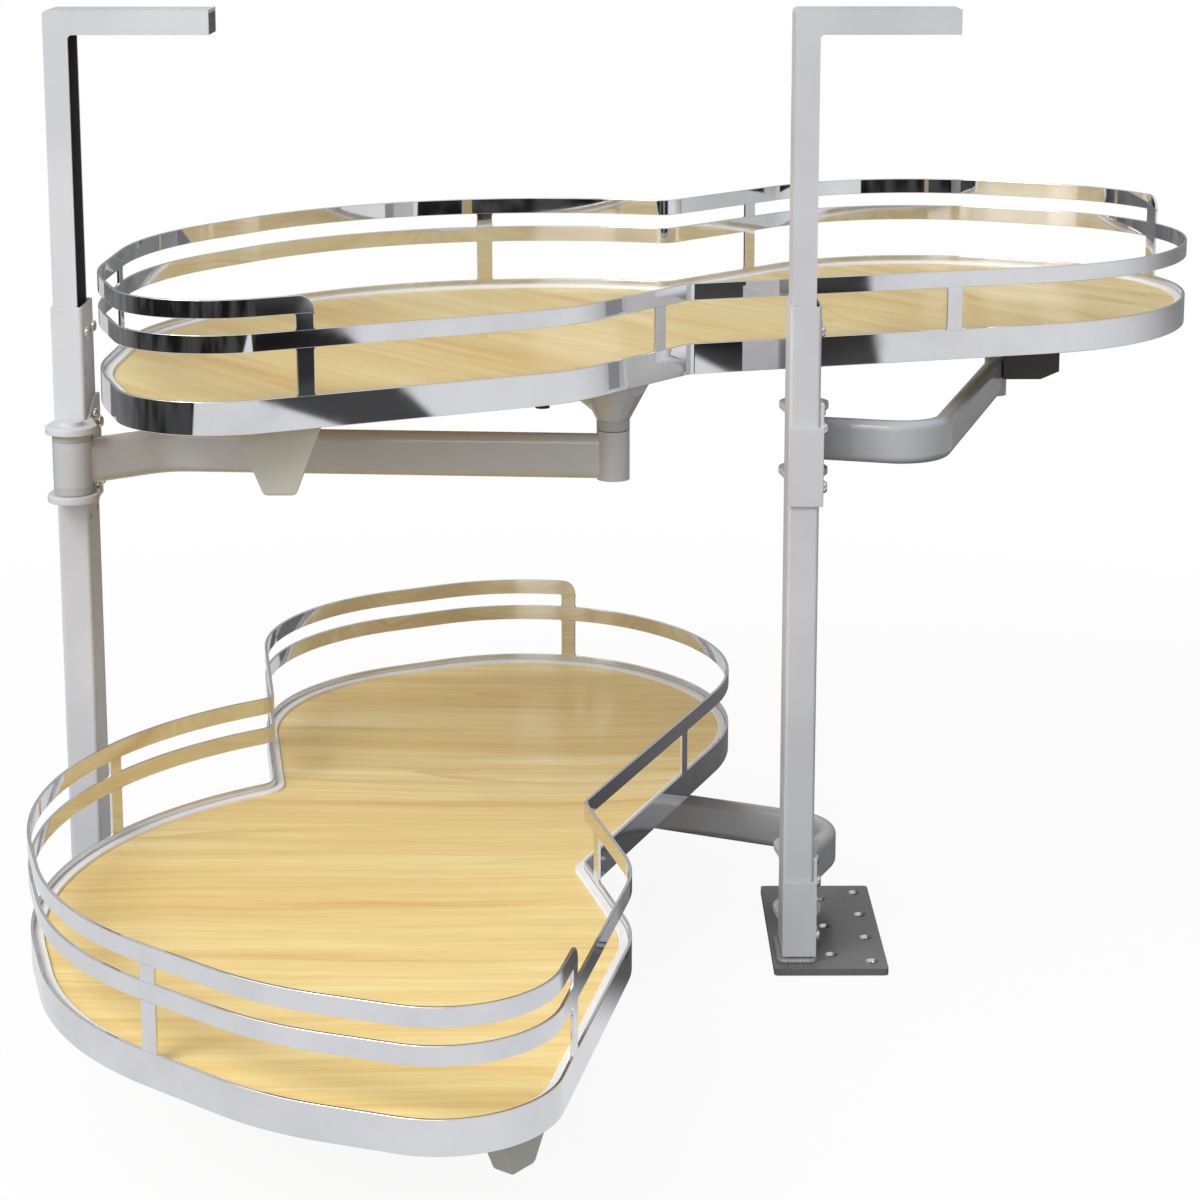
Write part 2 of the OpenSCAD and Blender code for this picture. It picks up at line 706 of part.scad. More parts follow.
module guide_plate_shape() {
    translate([tray_link, 0, board_bottom]) difference() {
        translate([0, 0, -plate_t]) cylinder(h = plate_t, r = plate_r);
        for (a = plate_screws) rotate(a) translate([plate_screw_r, 0, 0]) sunk_screw(screw_play, cut);
    }
}
module plate_screws_shape() {
    for (a = plate_screws)
        translate([tray_link, 0, board_bottom]) rotate(a) translate([plate_screw_r, 0, 0]) sunk_screw(0, 0);
}
module sunk_screw(play, over) {
    translate([0, 0, -plate_t]) cylinder(h = plate_t + over, r = screw_r + play);
    translate([0, 0, -plate_t])
        cylinder(h = screw_head_r - screw_r, r1 = screw_head_r + play, r2 = screw_r + play);
    if (over > 0) translate([0, 0, -plate_t - over]) cylinder(h = over, r = screw_head_r + play);
}
module wedge_shape() {
    place = [corner[nose][0] + wedge_x, corner[nose][1] + wedge_y, board_bottom];
    translate(place) rotate(wedge_turn) intersection() {
        rotate([90, 0, 0]) linear_extrude(wedge_d, center = true) taper(wedge_w, wedge_foot_w);
        rotate([90, 0, 90]) linear_extrude(wedge_w, center = true) taper(wedge_d, wedge_foot_d);
    }
}
module taper(w, foot) polygon([[-w / 2, 0], [-foot / 2, -wedge_h], [foot / 2, -wedge_h], [w / 2, 0]]);
module bumper_shape() {
    translate([bumper_x, bumper_y, board_bottom - bumper_h]) cylinder(h = bumper_h, r = bumper_r);
    translate([bumper_x, bumper_y, board_bottom - strap_t]) cylinder(h = strap_t, r = bumper_flange_r);
}

// the fixed frame
module left_base_plate() color("gray") on_left_post() base_shape();
module left_tube() color("lightgray") on_left_post() tube_shape(-1, [spare_low, spare_high]);
module left_top_bracket() color("lightgray") on_left_post() bracket_shape();
module left_clamp_screws() color("silver") on_left_post() clamp_screws_shape();
module right_base_plate() color("gray") on_right_post() base_shape();
module right_tube() color("lightgray") on_right_post() tube_shape(1, [spare_right]);
module right_top_bracket() color("lightgray") on_right_post() bracket_shape();
module right_clamp_screws() color("silver") on_right_post() clamp_screws_shape();
module upper_left_fork() color("lightgray") on_left_fork(true) fork_shape();
module upper_left_pin() color("silver") on_left_fork(true) hinge_pin_shape();
module upper_left_screws() color("silver") on_left_fork(true) fork_screws_shape();
module upper_right_fork() color("lightgray") on_right_fork(true) fork_shape();
module upper_right_pin() color("silver") on_right_fork(true) hinge_pin_shape();
module upper_right_screws() color("silver") on_right_fork(true) fork_screws_shape();
module lower_left_fork() color("lightgray") on_left_fork(false) fork_shape();
module lower_left_pin() color("silver") on_left_fork(false) hinge_pin_shape();
module lower_left_screws() color("silver") on_left_fork(false) fork_screws_shape();
module lower_right_fork() color("lightgray") on_right_fork(false) fork_shape();
module lower_right_pin() color("silver") on_right_fork(false) hinge_pin_shape();
module lower_right_screws() color("silver") on_right_fork(false) fork_screws_shape();

// the upper level
module upper_main_arm() color("darkgray") on_main(true) main_arm_shape();
module upper_main_bushes() color("gray") on_main(true) bushes_shape();
module upper_guide_arm() color("darkgray") on_guide(true) guide_arm_shape();
module upper_guide_bushes() color("gray") on_guide(true) bushes_shape();
module upper_guide_pin() color("silver") on_guide(true) guide_pin_shape();
module upper_damper_box() color("dimgray") on_guide(true) damper_box_shape();
module upper_floor_board() color("burlywood") on_tray(true) board_shape();
module upper_edge_liner() color("white") on_tray(true) liner_shape();
module upper_band() color("silver") on_tray(true) band_shape();
module upper_mid_rail() color("silver") on_tray(true) mid_rail_shape();
module upper_top_rail() color("silver") on_tray(true) top_rail_shape();
module upper_uprights() color("silver") on_tray(true) uprights_shape();
module upper_pivot_cone() color("darkgray") on_tray(true) cone_shape();
module upper_pivot_collar() color("gray") on_tray(true) collar_shape();
module upper_pivot_pin() color("silver") on_tray(true) pivot_pin_shape();
module upper_guide_plate() color("gray") on_tray(true) guide_plate_shape();
module upper_plate_screws() color("silver") on_tray(true) plate_screws_shape();
module upper_grip_wedge() color("gray") on_tray(true) wedge_shape();
module upper_bumper() color("gray") on_tray(true) bumper_shape();

// the lower level
module lower_main_arm() color("darkgray") on_main(false) main_arm_shape();
module lower_main_bushes() color("gray") on_main(false) bushes_shape();
module lower_guide_arm() color("darkgray") on_guide(false) guide_arm_shape();
module lower_guide_bushes() color("gray") on_guide(false) bushes_shape();
module lower_guide_pin() color("silver") on_guide(false) guide_pin_shape();
module lower_damper_box() color("dimgray") on_guide(false) damper_box_shape();
module lower_floor_board() color("burlywood") on_tray(false) board_shape();
module lower_edge_liner() color("white") on_tray(false) liner_shape();
module lower_band() color("silver") on_tray(false) band_shape();
module lower_mid_rail() color("silver") on_tray(false) mid_rail_shape();
module lower_top_rail() color("silver") on_tray(false) top_rail_shape();
module lower_uprights() color("silver") on_tray(false) uprights_shape();
module lower_pivot_cone() color("darkgray") on_tray(false) cone_shape();
module lower_pivot_collar() color("gray") on_tray(false) collar_shape();
module lower_pivot_pin() color("silver") on_tray(false) pivot_pin_shape();
module lower_guide_plate() color("gray") on_tray(false) guide_plate_shape();
module lower_plate_screws() color("silver") on_tray(false) plate_screws_shape();
module lower_grip_wedge() color("gray") on_tray(false) wedge_shape();
module lower_bumper() color("gray") on_tray(false) bumper_shape();

left_base_plate();
left_tube();
left_top_bracket();
left_clamp_screws();
right_base_plate();
right_tube();
right_top_bracket();
right_clamp_screws();
upper_left_fork();
upper_left_pin();
upper_left_screws();
upper_right_fork();
upper_right_pin();
upper_right_screws();
lower_left_fork();
lower_left_pin();
lower_left_screws();
lower_right_fork();
lower_right_pin();
lower_right_screws();
upper_main_arm();
upper_main_bushes();
upper_guide_arm();
upper_guide_bushes();
upper_guide_pin();
upper_damper_box();
upper_floor_board();
upper_edge_liner();
upper_band();
upper_mid_rail();
upper_top_rail();
upper_uprights();
upper_pivot_cone();
upper_pivot_collar();
upper_pivot_pin();
upper_guide_plate();
upper_plate_screws();
upper_grip_wedge();
upper_bumper();
lower_main_arm();
lower_main_bushes();
lower_guide_arm();
lower_guide_bushes();
lower_guide_pin();
lower_damper_box();
lower_floor_board();
lower_edge_liner();
lower_band();
lower_mid_rail();
lower_top_rail();
lower_uprights();
lower_pivot_cone();
lower_pivot_collar();
lower_pivot_pin();
lower_guide_plate();
lower_plate_screws();
lower_grip_wedge();
lower_bumper();
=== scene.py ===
# Looks of a blind corner pull out: two posts that carry two kidney trays on cranked arms.
# Sizes of pieces are millimetres, turned to metres where a mesh is made; the studio's are metres.
import bisect
import json
import math

import bmesh
import bpy
from mathutils import Matrix, Vector


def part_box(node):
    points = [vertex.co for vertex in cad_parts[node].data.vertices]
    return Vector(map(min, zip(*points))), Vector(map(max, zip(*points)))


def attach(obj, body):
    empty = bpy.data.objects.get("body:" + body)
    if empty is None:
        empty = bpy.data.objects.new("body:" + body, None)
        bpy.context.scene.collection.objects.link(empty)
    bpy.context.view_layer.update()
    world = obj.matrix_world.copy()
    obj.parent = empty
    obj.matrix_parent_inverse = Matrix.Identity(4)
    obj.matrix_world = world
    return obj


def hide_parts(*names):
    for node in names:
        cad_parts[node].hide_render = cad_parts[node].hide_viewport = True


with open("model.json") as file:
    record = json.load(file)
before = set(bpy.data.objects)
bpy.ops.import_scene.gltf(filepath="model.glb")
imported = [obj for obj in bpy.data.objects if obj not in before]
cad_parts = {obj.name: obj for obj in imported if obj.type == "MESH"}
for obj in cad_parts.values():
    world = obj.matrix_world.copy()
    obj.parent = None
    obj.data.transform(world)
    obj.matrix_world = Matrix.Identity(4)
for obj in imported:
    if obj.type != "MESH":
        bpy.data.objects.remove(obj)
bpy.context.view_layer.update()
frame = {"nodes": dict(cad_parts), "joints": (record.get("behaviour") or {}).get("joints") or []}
MM = 0.001


# Base plates
# Each post is welded to a flat steel plate with seven countersunk screw holes.
# The plates are sprayed in a darker grey powder coat than the posts.
class Wire:
    """A socket of a finish: sums on it add Math nodes, and node() adds any other node."""

    def __init__(self, tree, socket):
        self.tree = tree
        self.socket = socket

    def node(self, kind, settings=None, sockets=None, out=0):
        made = self.tree.nodes.new(kind)
        for name, value in (settings or {}).items():
            if name == "stops":
                ramp = made.color_ramp
                while len(ramp.elements) < len(value):
                    ramp.elements.new(1.0)
                for element, (place, colour) in zip(ramp.elements, value):
                    element.position = place
                    element.color = colour
            else:
                setattr(made, name, value)
        for name, value in (sockets or {}).items():
            if isinstance(value, Wire):
                self.tree.links.new(value.socket, made.inputs[name])
            else:
                made.inputs[name].default_value = value
        return Wire(self.tree, made.outputs[out])

    def math(self, operation, first, second):
        return self.node("ShaderNodeMath", {"operation": operation}, {0: first, 1: second})

    def __add__(self, other):
        return self.math("ADD", self, other)

    __radd__ = __add__

    def __sub__(self, other):
        return self.math("SUBTRACT", self, other)

    def __rsub__(self, other):
        return self.math("SUBTRACT", other, self)

    def __mul__(self, other):
        return self.math("MULTIPLY", self, other)

    __rmul__ = __mul__

    def over(self, low, high):
        """0 below low, 1 above high and a smooth rise between."""
        sockets = {"Value": self, "From Min": low, "From Max": high, "To Min": 0.0, "To Max": 1.0}
        return self.node("ShaderNodeMapRange", {"interpolation_type": "SMOOTHSTEP"}, sockets)

    def noise(self, scale, detail=2.0, rough=0.5):
        sockets = {"Vector": self, "Scale": scale, "Detail": detail, "Roughness": rough}
        return self.node("ShaderNodeTexNoise", {}, sockets)

    def blend(self, first, second):
        """A colour that goes from first to second as this value goes from 0 to 1."""
        settings = {"data_type": "RGBA"}
        return self.node("ShaderNodeMix", settings, {0: self, 6: first, 7: second}, out=2)

    def bump(self, strength, distance):
        return self.node("ShaderNodeBump", {}, {"Strength": strength, "Distance": distance, "Height": self})

    def into(self, shader, name):
        self.tree.links.new(self.socket, shader.inputs[name])


def tint(red, green, blue):
    """A colour given in 0 to 255 as a screen shows it, in linear light."""
    def linear(v):
        v = v / 255
        return v / 12.92 if v <= 0.04045 else ((v + 0.055) / 1.055) ** 2.4
    return (linear(red), linear(green), linear(blue), 1.0)


def new_finish(name, **constants):
    """A new material, its shader and the object's own coordinates."""
    material = bpy.data.materials.new(name)
    material.use_nodes = True
    tree = material.node_tree
    shader = tree.nodes["Principled BSDF"]
    for socket, value in constants.items():
        shader.inputs[socket.replace("_", " ")].default_value = value
    coords = tree.nodes.new("ShaderNodeTexCoord")
    return material, shader, Wire(tree, coords.outputs["Object"])


def sprayed_coat(name, light, dark, rough, grain, bare_and_shade_mask=None, steel_and_shade_colour=None, shine=0.0, coat=0.0):
    """Sprayed powder or stove paint: soft clouding, fine orange peel and slightly uneven gloss.
    Where bare_and_shade_mask gives 1, a second colour replaces the spray, as metal by the amount of shine:
    bare steel round the countersinks, and painted shade with no shine on a channel's inner faces."""
    material, shader, place = new_finish(name, Coat_Weight=coat, Coat_Roughness=0.08)
    cloud = place.noise(9.0, 3.0)
    colour = cloud.over(0.35, 0.65).blend(dark, light)
    if bare_and_shade_mask:
        mask = bare_and_shade_mask(place)
        colour = mask.blend(colour, steel_and_shade_colour)
        (mask * shine).into(shader, "Metallic")
    colour.into(shader, "Base Color")
    peel = place.noise(700.0, 2.0, 0.6)
    (rough + (cloud - 0.5) * 0.12 + (peel - 0.5) * 0.10).into(shader, "Roughness")
    peel.bump(grain, 0.0004).into(shader, "Normal")
    return material


def countersinks(place):
    """A mask that is 1 on faces that slope at about 45 degrees, as the cones of the screw holes do."""
    facing = place.node("ShaderNodeNewGeometry", out=3)
    slope = facing.node("ShaderNodeSeparateXYZ", {}, {"Vector": facing}, out=2)
    return slope.over(0.55, 0.62) * (1 - slope.over(0.78, 0.84))


base_coat = sprayed_coat(
    "base_coat", tint(112, 111, 112), tint(102, 101, 102), 0.26, 0.05, countersinks, tint(196, 193, 188), 1.0
)


def dress(node, material, edge=0.0):
    """Gives a construction node its finish, and rounds its sharp edges by a small radius."""
    piece = frame["nodes"][node]
    piece.data.materials.clear()
    piece.data.materials.append(material)
    weld = piece.modifiers.new("weld", "WELD")
    weld.merge_threshold = 2e-6
    if edge:
        rounding = piece.modifiers.new("rounding", "BEVEL")
        rounding.width = edge * MM
        rounding.segments = 2
        rounding.limit_method = "ANGLE"
        rounding.angle_limit = math.radians(35)
    shading = piece.modifiers.new("shading", "WEIGHTED_NORMAL")
    shading.keep_sharp = True
    return piece


SIDES = ("left", "right")
LEVELS = ("upper", "lower")
for side in SIDES:
    dress(side + "_base_plate", base_coat, 0.5)


# Posts
# A flat steel tube stands on each plate, and a folded channel slides into its open top.
# Both are sprayed in a light silver-grey powder coat. Inside each channel, dark grey painted shade covers
# the inner faces.
POST_COLOURS = tint(203, 204, 207), tint(193, 194, 198)
post_coat = sprayed_coat("post_coat", *POST_COLOURS, 0.40, 0.16)
CHANNEL_SHEET = 2.5
MASK_ROOM, MASK_SOFT = 0.2, 0.1


def channel_shade_mask(bracket):
    """A mask of painted shade: 1 on the inner faces of a folded channel, where shade falls, and 0 on its
    outer skin.
    """
    low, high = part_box(bracket)
    skin = (CHANNEL_SHEET - MASK_ROOM) * MM
    soft = MASK_SOFT * MM

    def mask(place):
        x, y, z = (place.node("ShaderNodeSeparateXYZ", {}, {"Vector": place}, out=i) for i in range(3))
        past_web = x.over(low.x + skin - soft, low.x + skin)
        between = 1 - (y * y).over((high.y - skin) ** 2, (high.y - skin + soft) ** 2)
        return past_web * between * (1 - z.over(high.z - skin, high.z - skin + soft))
    return mask


for side in SIDES:
    inside = channel_shade_mask(side + "_top_bracket")
    # The dark grey on the channel's inner faces is painted shade, where the channel's walls shut out the
    # light.
    shaded_channel_coat = sprayed_coat(side + "_channel_coat", *POST_COLOURS, 0.40, 0.16, inside, tint(70, 70, 71))
    dress(side + "_tube", post_coat, 0.3)
    dress(side + "_top_bracket", shaded_channel_coat, 0.4)


# Foot welds
# A fillet of weld runs round each tube's foot and joins it to its plate, rippled as it was laid.
# It is sprayed over in a mid-grey finish of its own, lighter than the plate's.
def new_piece(name, verts, faces, material, body, normals=None):
    """A mesh in the shared frame, in metres, that rides on a body."""
    mesh = bpy.data.meshes.new(name)
    mesh.from_pydata(verts, [], faces)
    mesh.materials.append(material)
    mesh.polygons.foreach_set("use_smooth", [True] * len(mesh.polygons))
    if normals:
        mesh.normals_split_custom_set_from_vertices(normals)
    piece = bpy.data.objects.new(name, mesh)
    bpy.context.scene.collection.objects.link(piece)
    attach(piece, body)
    return piece


TUBE_CORNER = 2.5
WELD = 3.4
RIPPLE, RIPPLE_LENGTH = 0.09, 2.4
CORNER_STEPS, RIPPLE_STEPS, FILLET_POINTS = 6, 4, 6
weld_coat = sprayed_coat("weld_coat", tint(150, 150, 152), tint(132, 132, 134), 0.22, 0.3)


def weld_bead(side):
    """A bead round a tube's foot: a quarter round swept along the tube's outline, with ripples."""
    low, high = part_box(side + "_tube")
    middle = (low + high) / 2
    half = (high - low) / 2 / MM
    path = []
    for sx, sy, first in ((1, 1, 0), (-1, 1, 90), (-1, -1, 180), (1, -1, 270)):
        centre = Vector((sx * (half.x - TUBE_CORNER), sy * (half.y - TUBE_CORNER)))
        for k in range(CORNER_STEPS + 1):
            a = math.radians(first + 90 * k / CORNER_STEPS)
            path.append((centre + TUBE_CORNER * Vector((math.cos(a), math.sin(a))), a))
        straight = 2 * (half.x if first in (0, 180) else half.y) - 2 * TUBE_CORNER
        start, a = path[-1]
        along = Vector((-math.sin(a), math.cos(a)))
        cuts = round(straight / RIPPLE_LENGTH) * RIPPLE_STEPS
        path += [(start + along * straight * k / cuts, a) for k in range(1, cuts)]
    verts, faces = [], []
    count = FILLET_POINTS
    run = 0.0
    for i, (point, a) in enumerate(path):
        run += (point - path[i - 1][0]).length if i else 0.0
        radius = WELD * (1 + RIPPLE * math.sin(2 * math.pi * run / RIPPLE_LENGTH))
        for k in range(count):
            lift = math.pi / 2 * k / (count - 1)
            spot = point + radius * math.cos(lift) * Vector((math.cos(a), math.sin(a)))
            verts.append(Vector((middle.x, middle.y, low.z)) + Vector((*spot, radius * math.sin(lift))) * MM)
    total = len(path)
    for i in range(total):
        here, there = i * count, (i + 1) % total * count
        faces += [(here + k, there + k, there + k + 1, here + k + 1) for k in range(count - 1)]
        faces.append((here + count - 1, there + count - 1, there, here))
    new_piece(side + "_foot_weld", verts, faces, weld_coat, "frame")


for side in SIDES:
    weld_bead(side)


# Forks
# Pressed steel forks wrap the tube and hold each arm's hinge pin between two lugs.
# They are sprayed with the posts and held by pan-head screws.
for level in LEVELS:
    for side in SIDES:
        dress(f"{level}_{side}_fork", post_coat, 0.8)


# Hinge pins and screws
# Headed steel hinge pins, sprayed with the forks, and zinc plated pan-head screws with a cross recess.
# The screws stand in the places of the plain ones, one new screw for each.
def zinc_finish():
    """Bright zinc plate with a fine haze."""
    material, shader, place = new_finish("zinc", Metallic=1.0)
    haze = place.noise(260.0, 4.0)
    haze.over(0.3, 0.7).blend(tint(188, 186, 180), tint(224, 222, 217)).into(shader, "Base Color")
    (0.16 + haze * 0.2).into(shader, "Roughness")
    return material


zinc = zinc_finish()


def by_angle(piece, degrees=30):
    """Smooth shading that breaks at edges sharper than an angle, with faces weighted by size."""
    mesh = piece.data
    mesh.set_sharp_from_angle(angle=math.radians(degrees))
    shading = piece.modifiers.new("shading", "WEIGHTED_NORMAL")
    shading.keep_sharp = True
    return piece


def screw_shape(head_r, head_h, shank_r, shank):
    """Rings and faces of a domed pan-head screw on +Z, its head's underside at zero, with a cross recess."""
    turns = 32
    rings = [(shank_r, -shank), (shank_r, 0.0), (head_r * 0.97, 0.0), (head_r, 0.08 * head_h)]
    rings += [(head_r, 0.2 * head_h)]
    rings += [(head_r * (0.5 + 0.5 * math.cos(a)), head_h * (0.2 + 0.8 * math.sin(a)))
              for a in (math.radians(d) for d in (15, 30, 45, 60, 75))]
    made = bmesh.new()
    loops = []
    for radius, height in rings:
        loops.append([made.verts.new((radius * math.cos(a), radius * math.sin(a), height))
                      for a in (2 * math.pi * k / turns for k in range(turns))])
    for low, high in zip(loops, loops[1:]):
        for k in range(turns):
            made.faces.new((low[k], low[k - turns + 1], high[k - turns + 1], high[k]))
    made.faces.new(list(reversed(loops[0])))
    half, reach, deep = 0.12 * head_r, 0.44 * head_r, 0.55 * head_h
    plan = []
    for quarter in range(4):
        c, s = round(math.cos(quarter * math.pi / 2)), round(math.sin(quarter * math.pi / 2))
        for x, y in ((reach, -half), (reach, half), (half, half)):
            plan.append((x * c - y * s, x * s + y * c))
    top = [made.verts.new((x, y, head_h * 0.995)) for x, y in plan]
    foot = [made.verts.new((x * 0.75, y * 0.75, head_h - deep)) for x, y in plan]
    count = len(plan)
    rim = [made.edges.get((loops[-1][k], loops[-1][k - 1])) for k in range(turns)]
    hole = [made.edges.new((top[k], top[k - 1])) for k in range(count)]
    bmesh.ops.triangle_fill(made, edges=rim + hole, use_beauty=True)
    for k in range(count):
        made.faces.new((top[k], top[k - 1], foot[k - 1], foot[k]))
    made.faces.new(foot)
    bmesh.ops.recalc_face_normals(made, faces=made.faces)
    verts = [v.co.copy() for v in made.verts]
    made.verts.index_update()
    faces = [[v.index for v in f.verts] for f in made.faces]
    made.free()
    return verts, faces


def solids_of(node):
    """The box of each separate solid of a node, as lowest and highest corners."""
    mesh = frame["nodes"][node].data
    parent = {}

    def root(key):
        while parent[key] != key:
            key = parent[key]
        return key

    keys = [tuple(round(c, 5) for c in v.co) for v in mesh.vertices]
    for key in keys:
        parent.setdefault(key, key)
    for edge in mesh.edges:
        a, b = (root(keys[i]) for i in edge.vertices)
        parent[a] = b
    groups = {}
    for key in parent:
        groups.setdefault(root(key), []).append(key)
    found = []
    for points in groups.values():
        low = Vector([min(p[i] for p in points) for i in range(3)])
        high = Vector([max(p[i] for p in points) for i in range(3)])
        found.append((low, high))
    return sorted(found, key=lambda pair: tuple(round(c, 4) for c in pair[0]))


HEAD_R, HEAD_HIGH = 4.2, 3.2
FORK_SHANK_R, FORK_SHANK = 1.9, 6.5
CLAMP_SHANK_R, CLAMP_SHANK = 2.0, 15.0
SPIN_EACH = 0.9


def screws_on(node, shank_r, shank, spin):
    """Replaces a node of plain screws, all driven in from the right, with crossed pan heads."""
    outwards = Matrix.Rotation(math.pi / 2, 4, "Y")
    all_verts, all_faces = [], []
    for number, (low, high) in enumerate(solids_of(node)):
        verts, faces = screw_shape(HEAD_R, HEAD_HIGH, shank_r, shank)
        place = Vector((high.x - HEAD_HIGH * MM, (low.y + high.y) / 2, (low.z + high.z) / 2))
        stand = Matrix.Translation(place) @ outwards @ Matrix.Rotation(spin + SPIN_EACH * number, 4, "Z")
        start = len(all_verts)
        all_verts += [stand @ (v * MM) for v in verts]
        all_faces += [[start + i for i in face] for face in faces]
    piece = by_angle(new_piece(node + "_crossed", all_verts, all_faces, zinc, "frame"), 40)
    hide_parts(node)
    return piece


for level in LEVELS:
    for side in SIDES:
        dress(f"{level}_{side}_pin", post_coat, 0.6)
        screws_on(f"{level}_{side}_screws", FORK_SHANK_R, FORK_SHANK, 0.3)
for side in SIDES:
    screws_on(side + "_clamp_screws", CLAMP_SHANK_R, CLAMP_SHANK, 0.7)


# Arms
# Bent flat oval steel tube, welded to a hinge barrel and to a round end, in light grey gloss paint.
# Moulded grey bushes sit above and below each barrel.
arm_coat = sprayed_coat("arm_coat", tint(186, 187, 190), tint(179, 180, 183), 0.24, 0.015, coat=0.5)


def moulded(name, light, dark, rough, grain, scale=900.0):
    """Injection moulded plastic: even colour with a faint flow cloud and a fine spark-eroded grain."""
    material, shader, place = new_finish(name)
    cloud = place.noise(14.0, 2.0)
    cloud.over(0.3, 0.7).blend(dark, light).into(shader, "Base Color")
    speck = place.noise(scale, 2.0, 0.7)
    (rough + (speck - 0.5) * 0.15).into(shader, "Roughness")
    speck.bump(grain, 0.0003).into(shader, "Normal")
    return material


bush_plastic = moulded("bush_plastic", tint(172, 172, 172), tint(160, 160, 160), 0.45, 0.12)
for level in LEVELS:
    for arm in ("main", "guide"):
        dress(f"{level}_{arm}_arm", arm_coat, 0.4)
        dress(f"{level}_{arm}_bushes", bush_plastic, 0.6)


# Guide arm ends
# A zinc plated pin stands up from each guide arm's end.
# The box of the damper beside it is moulded in dark plastic.
dark_plastic = moulded("dark_plastic", tint(70, 67, 64), tint(60, 57, 54), 0.5, 0.3)
for level in LEVELS:
    dress(level + "_guide_pin", zinc, 0.4)
    dress(level + "_damper_box", dark_plastic, 1.2)


# Tray undersides
# A zinc plated pivot pin carries each tray, in a painted cone under the board with a grey collar.
# The moulded guide plate is screwed on; a bumper stub and a grip wedge stand below the board.
grey_plastic = moulded("grey_plastic", tint(194, 194, 185), tint(184, 184, 175), 0.38, 0.2)
for level in LEVELS:
    dress(level + "_pivot_pin", zinc, 0.4)
    dress(level + "_pivot_cone", arm_coat, 0.4)
    dress(level + "_pivot_collar", bush_plastic, 0.6)
    dress(level + "_guide_plate", grey_plastic, 0.6)
    dress(level + "_plate_screws", zinc, 0.0)
    dress(level + "_bumper", dark_plastic, 0.8)
    dress(level + "_grip_wedge", grey_plastic, 2.0)


# Floor boards
# Maple-faced board, 12 mm thick, cut to a kidney outline and sealed with satin lacquer.
# The grain runs nearly across the tray's axis line. Heights are above the arm's middle line.
# Both outlines have these corners: x, y and rounding radius, from the main pivot towards the guide pin.
CORNERS = (
    (57, -16, 12),
    (403, -199, 183),
    (571, -45, 143),
    (482, 192, 157),
    (244, 185, 14),
    (146, 363, 265),
    (-153, 315, 244),
    (-276, 197, 205),
    (-344, 59, 67),
    (-70, -32, 119),
)
NOSE = 8


class Outline:
    """Arcs and straights of a rounded polygon, measured along its run."""

    def __init__(self, corners):
        points = [Vector(c[:2]) for c in corners]
        count = len(points)
        arcs = []
        for i, (x, y, radius) in enumerate(corners):
            before = (points[i] - points[i - 1]).normalized()
            after = (points[(i + 1) % count] - points[i]).normalized()
            bend = math.atan2(before.x * after.y - before.y * after.x, before.dot(after))
            back = radius * math.tan(abs(bend) / 2)
            arcs.append((points[i] - before * back, points[i] + after * back, before, bend, radius))
        self.parts = []
        self.curve = []
        self.straight = []
        run = 0.0
        for i, (start, finish, before, bend, radius) in enumerate(arcs):
            side = math.copysign(1, bend)
            right = Vector((before.y, -before.x))
            middle = start - side * radius * right
            length = abs(bend) * radius
            self.curve.append((run, length))
            self.parts.append((run, length, middle, right, bend, radius * side))
            run += length
            following = arcs[(i + 1) % count][0]
            length = (following - finish).length
            self.straight.append((run, length))
            self.parts.append((run, length, finish, (following - finish) / length, 0.0, 0.0))
            run += length
        self.length = run
        self.starts = [part[0] for part in self.parts]

    def at(self, run):
        """The point and the outward normal at a length along the run."""
        run = run % self.length
        start, length, anchor, way, bend, reach = self.parts[bisect.bisect_right(self.starts, run) - 1]
        share = (run - start) / length
        if bend:
            a = bend * share
            c, s = math.cos(a), math.sin(a)
            out = Vector((way.x * c - way.y * s, way.x * s + way.y * c))
            return anchor + out * reach, out
        return anchor + way * (run - start), Vector((way.y, -way.x))

    def runs(self, start=0.0, finish=None, step=2.0):
        """Lengths along the run where a smooth sweep needs a station, from start to finish."""
        finish = self.length if finish is None else finish
        stops = [start]
        for part in self.parts + [(p[0] + self.length, *p[1:]) for p in self.parts]:
            turns = max(1, math.ceil(abs(math.degrees(part[4])) / step)) if part[4] else 1
            stops += [part[0] + part[1] * k / turns for k in range(turns)]
        return [s for s in stops if start <= s < finish - 1e-6] + [finish]

    def place(self, corner, share):
        """The length along the run: up to 1 round a corner's arc, from 1 to 2 on the straight after it."""
        start, length = self.curve[corner] if share <= 1 else self.straight[corner]
        return start + length * (share if share <= 1 else share - 1)


tray_edge = Outline(CORNERS)
PIVOTS = {j["name"]: j["pos_m"] for j in frame["joints"]}


class Tray:
    """Where one level's tray stands: its body's name, and its pivot and turn as a matrix."""

    def __init__(self, level):
        self.level = level
        self.body = level + "_tray"
        pivot = Vector(PIVOTS[level + "_tray_pivot"])
        low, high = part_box(level + "_guide_pin")
        far = (low + high) / 2 - pivot
        self.turn = math.atan2(far.y, far.x)
        self.matrix = Matrix.Translation(pivot) @ Matrix.Rotation(self.turn, 4, "Z")

    def put(self, x, y, z):
        return self.matrix @ Vector((x * MM, y * MM, z * MM))

    def way(self, x, y, z):
        return self.matrix.to_3x3() @ Vector((x, y, z))


trays = [Tray(level) for level in LEVELS]
BOARD_LOW, BOARD_HIGH = 53.0, 65.0
BOARD_SOFT = 0.8
STRIP = 2.0
LINER_WIDTH = 6.0
GRAIN_TURN = math.radians(83.3)
# Painted light: the same maple is made a little darker on the upper board and a little lighter on the lower,
# as the light falls on each.
PAINTED_LEVEL_LIGHT = {"upper": 0.94, "lower": 1.01}


